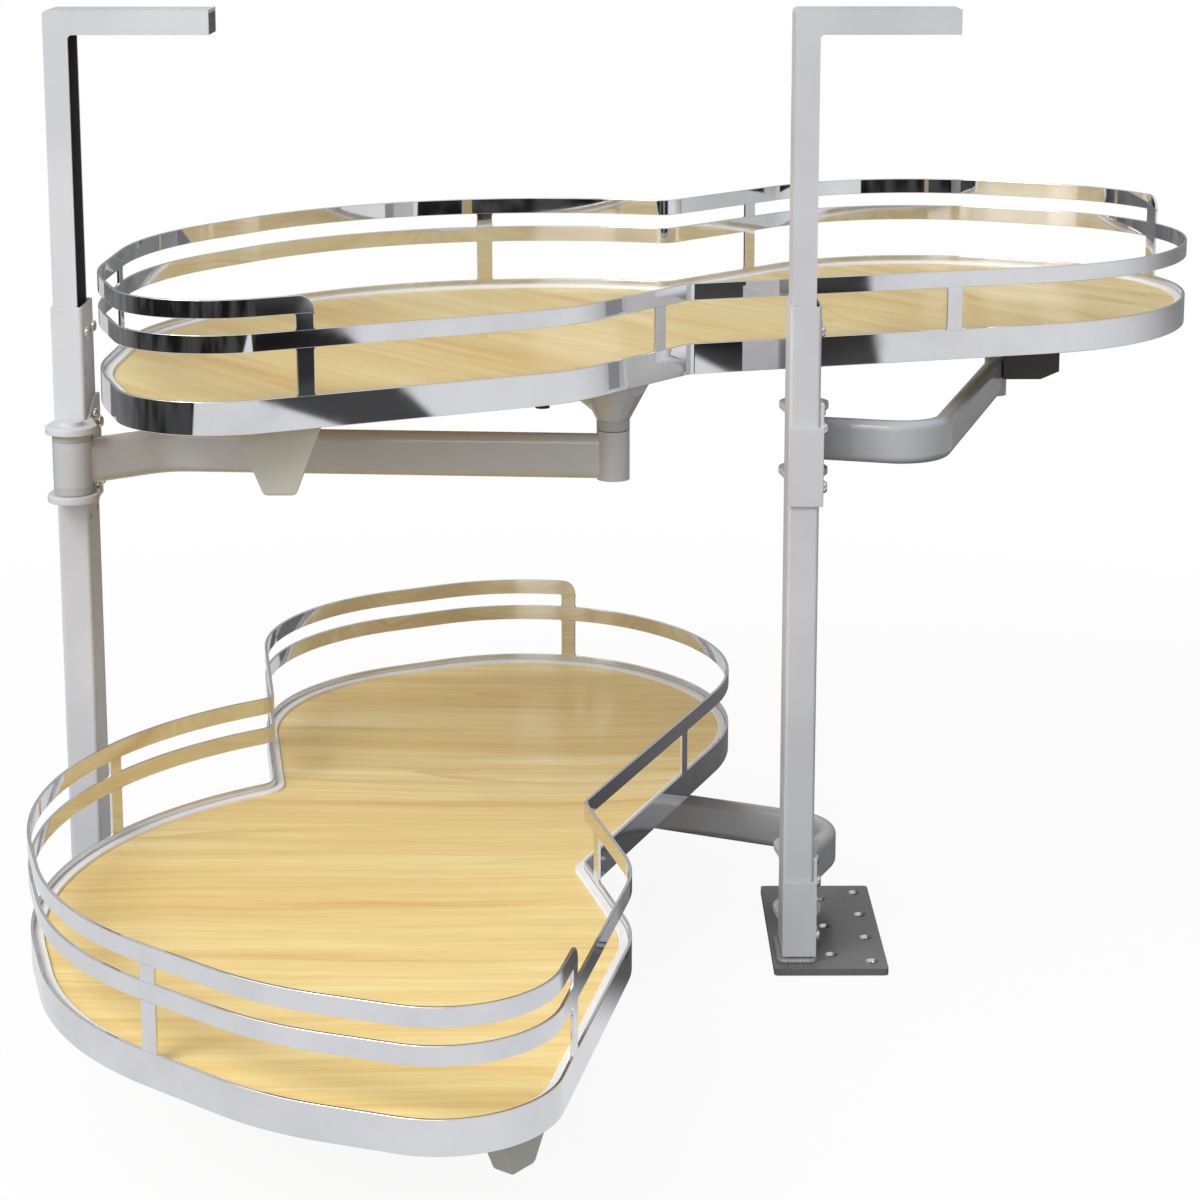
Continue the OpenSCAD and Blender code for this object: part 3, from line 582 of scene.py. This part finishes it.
def maple_finish(name, tray, painted_level_light):
    """Maple with long soft streaks, flame lines, fine pores and a satin lacquer; painted_level_light scales
    the sheet's colours to paint in the light that falls on one level's board.
    """
    material, shader, place = new_finish(name, Coat_Weight=0.04, Coat_Roughness=0.2, Specular_IOR_Level=0.25)
    along = place.node(
        "ShaderNodeMapping",
        {"vector_type": "TEXTURE"},
        {"Vector": place, "Rotation": (0.0, 0.0, tray.turn + GRAIN_TURN)},
    )
    wander = along.node("ShaderNodeTexNoise", {}, {"Vector": along, "Scale": 3.0, "Detail": 2.0}, out=1)
    bent = along.node(
        "ShaderNodeVectorMath",
        {"operation": "MULTIPLY_ADD"},
        {0: wander, 1: (0.0, 0.05, 0.0), 2: along},
    )

    def streaks(length, width, detail=4.0):
        """Noise drawn out along the grain, with so many changes in a metre along it and across it."""
        drawn = bent.node("ShaderNodeMapping", {}, {"Vector": bent, "Scale": (length, width, 1.0)})
        return drawn.noise(1.0, detail, 0.55)

    broad = streaks(0.9, 11.0, 3.0)
    narrow = streaks(2.4, 42.0)
    fine = streaks(5.0, 150.0)
    pores = streaks(22.0, 900.0, 2.0)
    shades = ((0.36, 220, 181, 107), (0.46, 235, 203, 130), (0.55, 243, 219, 150), (0.66, 252, 237, 188))
    # The board's colours are scaled by its level's painted light.
    stops = [(at, tint(*(min(c * painted_level_light, 255) for c in shade))) for at, *shade in shades]
    tone = broad * 0.38 + narrow * 0.36 + fine * 0.26
    ground = tone.node("ShaderNodeValToRGB", {"stops": stops}, {"Fac": tone})
    rings = streaks(1.0, 8.0, 1.0) * 15
    lines = 1 - rings.math("FRACT", rings, 0.0).over(0.0, 0.2)
    flames = lines * streaks(2.6, 10.0, 2.0).over(0.5, 0.64)
    flecks = 1 - pores.over(0.28, 0.42)
    lined = (flames * 0.42).blend(ground, tint(208, 158, 84))
    (flecks * 0.3).blend(lined, tint(190, 152, 92)).into(shader, "Base Color")
    (0.36 + (fine - 0.5) * 0.14).into(shader, "Roughness")
    (fine * 0.4 + pores).bump(0.06, 0.0003).into(shader, "Normal")
    return material


def floor_board(tray):
    """A board inside the liner, its edges softened, in place of the plain one."""
    runs = tray_edge.runs()[:-1]
    inset = STRIP + LINER_WIDTH
    soft = BOARD_SOFT
    rings = [(inset + soft, BOARD_LOW), (inset, BOARD_LOW + soft), (inset, BOARD_HIGH - soft)]
    rings += [(inset + soft * 0.3, BOARD_HIGH - soft * 0.3), (inset + soft, BOARD_HIGH)]
    verts = []
    for back, height in rings:
        for run in runs:
            point, out = tray_edge.at(run)
            spot = point - out * back
            verts.append(tray.put(spot.x, spot.y, height))
    count = len(runs)
    faces = []
    for ring in range(len(rings) - 1):
        low, high = ring * count, (ring + 1) * count
        faces += [(low + k, low + (k + 1) % count, high + (k + 1) % count, high + k) for k in range(count)]
    faces.append(tuple(reversed(range(count))))
    faces.append(tuple(range((len(rings) - 1) * count, len(rings) * count)))
    name = tray.level + "_maple_board"
    finish = maple_finish(name, tray, PAINTED_LEVEL_LIGHT[tray.level])
    piece = by_angle(new_piece(name, verts, faces, finish, tray.body), 50)
    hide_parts(tray.level + "_floor_board")


for tray in trays:
    floor_board(tray)


# Edge liners
# A satin white plastic strip fills the gap between the board and the band, with a lip above the board.
# It is one closed ring. Like every strip here, it is drawn unrolled and then wrapped round the outline.
def rounded_profile(width, height, radius):
    """Points and normals round a rectangle with rounded corners: across, up, and the way each one faces."""
    points = []
    for cx, cy, first in ((1, 1, 0), (-1, 1, 90), (-1, -1, 180), (1, -1, 270)):
        for k in range(4):
            a = math.radians(first + 30 * k)
            across = cx * (width / 2 - radius) + radius * math.cos(a)
            up = cy * (height / 2 - radius) + radius * math.sin(a)
            points.append((across, up, math.cos(a), math.sin(a)))
    return points


def wrap(tray, stations, thick, radius, back=0.0, closed=False):
    """Sweeps a strip round the outline; a station holds the run and height of its lower and upper edge."""
    verts, normals, faces = [], [], []
    count = 0
    for low_run, low_z, high_run, high_z in stations:
        tall = math.hypot(high_run - low_run, high_z - low_z)
        lean = ((high_run - low_run) / tall, (high_z - low_z) / tall)
        profile = rounded_profile(thick, tall, radius)
        count = len(profile)
        for across, up, face_out, face_up in profile:
            run = (low_run + high_run) / 2 + lean[0] * up
            point, out = tray_edge.at(run)
            along = Vector((-out.y, out.x))
            spot = point + out * (across - thick / 2 - back)
            verts.append(tray.put(spot.x, spot.y, (low_z + high_z) / 2 + lean[1] * up))
            flat = out * face_out + along * (lean[0] * face_up)
            normals.append(tray.way(flat.x, flat.y, lean[1] * face_up))
    total = len(stations)
    for i in range(total if closed else total - 1):
        here, there = i * count, ((i + 1) % total) * count
        for k in range(count):
            n = (k + 1) % count
            faces.append((here + k, there + k, there + n, here + n))
    if not closed:
        faces.append(tuple(range(count)))
        faces.append(tuple(reversed(range((total - 1) * count, total * count))))
    return verts, faces, normals


def level_stations(low, high, start=0.0, finish=None):
    """Stations of a strip of even height, from start to finish of the run."""
    return [(run, low, run, high) for run in tray_edge.runs(start, finish)]


def strip_piece(tray, name, wrapped, material, node):
    """A wrapped strip as a piece of the tray, in place of its node."""
    verts, faces, normals = wrapped
    piece = new_piece(f"{tray.level}_{name}", verts, faces, material, tray.body, normals)
    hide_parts(f"{tray.level}_{node}")
    return piece


LINER_HIGH = 67.0
LINER_SOFT = 0.8
white_edge = moulded("white_edge", tint(244, 244, 242), tint(238, 238, 235), 0.4, 0.1)
for tray in trays:
    stations = level_stations(BOARD_LOW, LINER_HIGH)[:-1]
    wrapped = wrap(tray, stations, LINER_WIDTH, LINER_SOFT, STRIP, closed=True)
    strip_piece(tray, "white_liner", wrapped, white_edge, "edge_liner")


# Bands and rails
# Polished flat steel strip, bent round the outline, butt welded and chromed to a mirror.
# The top rail stops at two uprights, where its corner is rounded off.
def chrome_finish():
    """Mirror chrome with faint smudges."""
    material, shader, place = new_finish("bright_chrome", Metallic=1.0)
    smudge = place.noise(16.0, 4.0, 0.6)
    smudge.over(0.3, 0.75).blend(tint(226, 227, 230), tint(214, 215, 219)).into(shader, "Base Color")
    (0.025 + smudge.over(0.45, 0.8) * 0.05).into(shader, "Roughness")
    return material


chrome = chrome_finish()
BAND_LOW, BAND_HIGH = 50.0, 71.0
MID_LOW, MID_HIGH = 100.5, 112.0
TOP_LOW, TOP_HIGH = 122.0, 133.5
EDGE_R = 0.45
UPRIGHT = 11.5
RAIL_END_R = 10.0
RAIL_END_LEAST = 1.5
TALL = ((2, 0.38), (3, 1.255), (5, 0.385), (6, 1.1), (NOSE, 1.17))
SHORT = ((9, 1.705), (0, 1.735))


def rail_end(run, side, steps=8):
    """Stations from a top rail's rounded end inwards: side is 1 where the rail runs on to higher runs."""
    made = []
    for k in range(steps + 1):
        a = math.pi / 2 * k / steps
        high = TOP_HIGH - RAIL_END_R * (1 - math.sin(a))
        shift = RAIL_END_R * (1 - math.cos(a))
        made.append((run + side * shift, TOP_LOW, run + side * shift, max(high, TOP_LOW + RAIL_END_LEAST)))
    return made


for tray in trays:
    for name, low, high in (("band", BAND_LOW, BAND_HIGH), ("mid_rail", MID_LOW, MID_HIGH)):
        wrapped = wrap(tray, level_stations(low, high)[:-1], STRIP, EDGE_R, closed=True)
        strip_piece(tray, "chrome_" + name, wrapped, chrome, name)
    start = tray_edge.place(*TALL[0]) - UPRIGHT / 2
    finish = tray_edge.place(*TALL[-1]) + UPRIGHT / 2
    first = rail_end(start, 1)
    last = list(reversed(rail_end(finish, -1)))
    body = level_stations(TOP_LOW, TOP_HIGH, first[-1][0], last[0][0])
    wrapped = wrap(tray, first + body[1:-1] + last, STRIP, EDGE_R)
    strip_piece(tray, "chrome_top_rail", wrapped, chrome, "top_rail")


# Uprights
# Short lengths of the same chromed strip stand between the band and the rails.
# Each one is butt welded at both ends, with small fillets.
def upright_stations(run, low, high):
    """Stations up a leg, its left and right edges, a little wider at both welds."""
    flare, rise = 1.0, 1.6
    made = []
    for height, extra in ((low - 0.2, flare), (low + rise * 0.35, flare * 0.35), (low + rise, 0.0),
                          (high - rise, 0.0), (high - rise * 0.35, flare * 0.35), (high + 0.2, flare)):
        half = UPRIGHT / 2 + extra
        made.append((run + half, height, run - half, height))
    return made


for tray in trays:
    verts, faces, normals = [], [], []
    legs = [(place, BAND_HIGH, MID_LOW) for place in TALL + SHORT]
    legs += [(place, MID_HIGH, TOP_LOW) for place in TALL]
    for place, low, high in legs:
        v, f, n = wrap(tray, upright_stations(tray_edge.place(*place), low, high), STRIP, EDGE_R)
        faces += [[i + len(verts) for i in face] for face in f]
        verts += v
        normals += n
    strip_piece(tray, "chrome_uprights", (verts, faces, normals), chrome, "uprights")


# Studio
# A pale seamless floor, white to the camera, soft lamps overhead and a camera at the photographed angle.
# Polished metal sees white paper close by and the dim room beyond it.
SHEET_FRONT, SHEET_LEFT = -2.42, -1.23
SHEET_RIGHT, SHEET_SKEW = 0.747, 0.29
SCREEN_NEAR, SCREEN_SKEW, SCREEN_LEFT = 0.165, 0.78, 0.925
BARE_RIGHT_OF, BARE_BEHIND = -0.10, -0.10
PAPER_NEAR, PAPER_FADE = 0.86, 0.6
ROOM_DARK, ROOM_PATCHES, ROOM_BACK = 0.012, 0.06, 0.16
OBJECT_MIDDLE = (-0.2, 0.0, 0.0)
BOUNCE, PALE_FLOOR = tint(118, 118, 118), tint(238, 238, 238)
BLACK, WHITE = (0.0, 0.0, 0.0, 1.0), (1.0, 1.0, 1.0, 1.0)
SKY_LOW = (0.30, 0.30, 0.31, 1.0)
DOME_LEFT, DOME_RIGHT = (0.74, 0.74, 0.75, 1.0), (0.54, 0.54, 0.55, 1.0)


def floor_finish():
    """White to the camera with a soft shadow; to polished metal paper and a screen in a dim room."""
    material, shader, place = new_finish("studio_floor", Roughness=0.9)
    tree = material.node_tree
    rays = tree.nodes.new("ShaderNodeLightPath")
    seen = Wire(tree, rays.outputs["Is Camera Ray"])
    mirrored = Wire(tree, rays.outputs["Is Glossy Ray"])
    x = place.node("ShaderNodeSeparateXYZ", {}, {"Vector": place}, out=0)
    y = place.node("ShaderNodeSeparateXYZ", {}, {"Vector": place}, out=1)

    def past(value, edge, soft):
        """1 where a value is past an edge, softened over a small distance on both sides."""
        return value.over(edge - soft, edge + soft)

    sheet = past(y, SHEET_FRONT, 0.02) * past(x, SHEET_LEFT, 0.03)
    sheet = sheet * past(SHEET_RIGHT - SHEET_SKEW * y - x, 0.0, 0.01)
    sheet = sheet * (1 - past(x, BARE_RIGHT_OF, 0.02) * past(y, BARE_BEHIND, 0.05))
    screen = past(x + SCREEN_SKEW * y, SCREEN_NEAR, 0.01) * past(x, SCREEN_LEFT, 0.025)
    lit = sheet.math("MAXIMUM", sheet, screen)
    paper = PAPER_NEAR - PAPER_FADE * y.over(-0.6, 2.6)
    patches = place.noise(1.6, 2.0).over(0.38, 0.62)
    room = ROOM_DARK + ROOM_PATCHES * patches + ROOM_BACK * y.over(-0.9, 1.4)
    level = lit * paper + (1 - lit) * room
    level = level.math("MAXIMUM", level, seen)
    colour = level.blend(BLACK, WHITE)
    glow = colour.node("ShaderNodeEmission", {}, {"Color": colour, "Strength": 1.0})
    seen.blend(BOUNCE, PALE_FLOOR).into(shader, "Base Color")
    dull = Wire(tree, shader.outputs[0])
    centre = place.node("ShaderNodeVectorMath", {"operation": "SUBTRACT"}, {0: place, 1: OBJECT_MIDDLE})
    away = centre.node("ShaderNodeVectorMath", {"operation": "LENGTH"}, {0: centre}, out=1)
    plain = seen * (0.92 + 0.08 * away.over(0.7, 1.5))
    share = plain.math("MAXIMUM", plain, mirrored)
    shown = share.node("ShaderNodeMixShader", {}, {0: share, 1: dull, 2: glow})
    tree.links.new(shown.socket, tree.nodes["Material Output"].inputs["Surface"])
    return material


FLOOR_REACH = 6.0
FLOOR_DROP = 0.0005
mesh = bpy.data.meshes.new("studio_floor")
ends = ((-1, -1), (1, -1), (1, 1), (-1, 1))
mesh.from_pydata([(sx * FLOOR_REACH, sy * FLOOR_REACH, -FLOOR_DROP) for sx, sy in ends], [], [(0, 1, 2, 3)])
mesh.materials.append(floor_finish())
floor = bpy.data.objects.new("studio_floor", mesh)
bpy.context.scene.collection.objects.link(floor)

world = bpy.data.worlds.new("studio")
bpy.context.scene.world = world
world.use_nodes = True
tree = world.node_tree
rays = tree.nodes.new("ShaderNodeLightPath")
seen = Wire(tree, rays.outputs["Is Camera Ray"])
mirrored = Wire(tree, rays.outputs["Is Glossy Ray"])
coords = Wire(tree, tree.nodes.new("ShaderNodeTexCoord").outputs["Generated"])
to_right, up = (coords.node("ShaderNodeSeparateXYZ", {}, {"Vector": coords}, out=i) for i in (0, 2))
sky = up.over(0.10, 0.75).blend(SKY_LOW, WHITE)
dome = to_right.over(-0.4, 0.9).blend(DOME_LEFT, DOME_RIGHT)
plain = mirrored.blend(dome, sky)
backdrop = seen.blend(plain, WHITE)
tree.links.new(backdrop.socket, tree.nodes["Background"].inputs["Color"])


def soft_lamp(name, place, target, size, power):
    """A round soft box at a place, turned to a target."""
    lamp = bpy.data.lights.new(name, "AREA")
    lamp.shape = "DISK"
    lamp.size = size
    lamp.energy = power
    holder = bpy.data.objects.new(name, lamp)
    holder.location = place
    holder.rotation_euler = (Vector(target) - Vector(place)).to_track_quat("-Z", "Y").to_euler()
    bpy.context.scene.collection.objects.link(holder)


soft_lamp("key", (-1.6, -1.8, 2.2), (-0.2, 0.0, 0.3), 1.4, 42.0)
soft_lamp("side", (-1.9, -1.2, 1.2), (-0.3, 0.0, 0.3), 1.2, 9.0)
soft_lamp("front", (-0.7, -2.6, 0.9), (-0.3, 0.0, 0.3), 1.4, 9.0)

LOOK_DOWN, LOOK_RIGHT = 11.569, 0.327
camera_data = bpy.data.cameras.new("camera")
camera_data.sensor_width = 36.0
camera_data.lens = 86.622
camera_data.shift_y = -0.15
camera = bpy.data.objects.new("camera", camera_data)
camera.location = (-0.1475, -1.9088, 0.7751)
camera.rotation_euler = (math.radians(90 - LOOK_DOWN), 0.0, math.radians(-LOOK_RIGHT))
bpy.context.scene.collection.objects.link(camera)
bpy.context.scene.camera = camera
bpy.context.scene.view_settings.view_transform = "Standard"
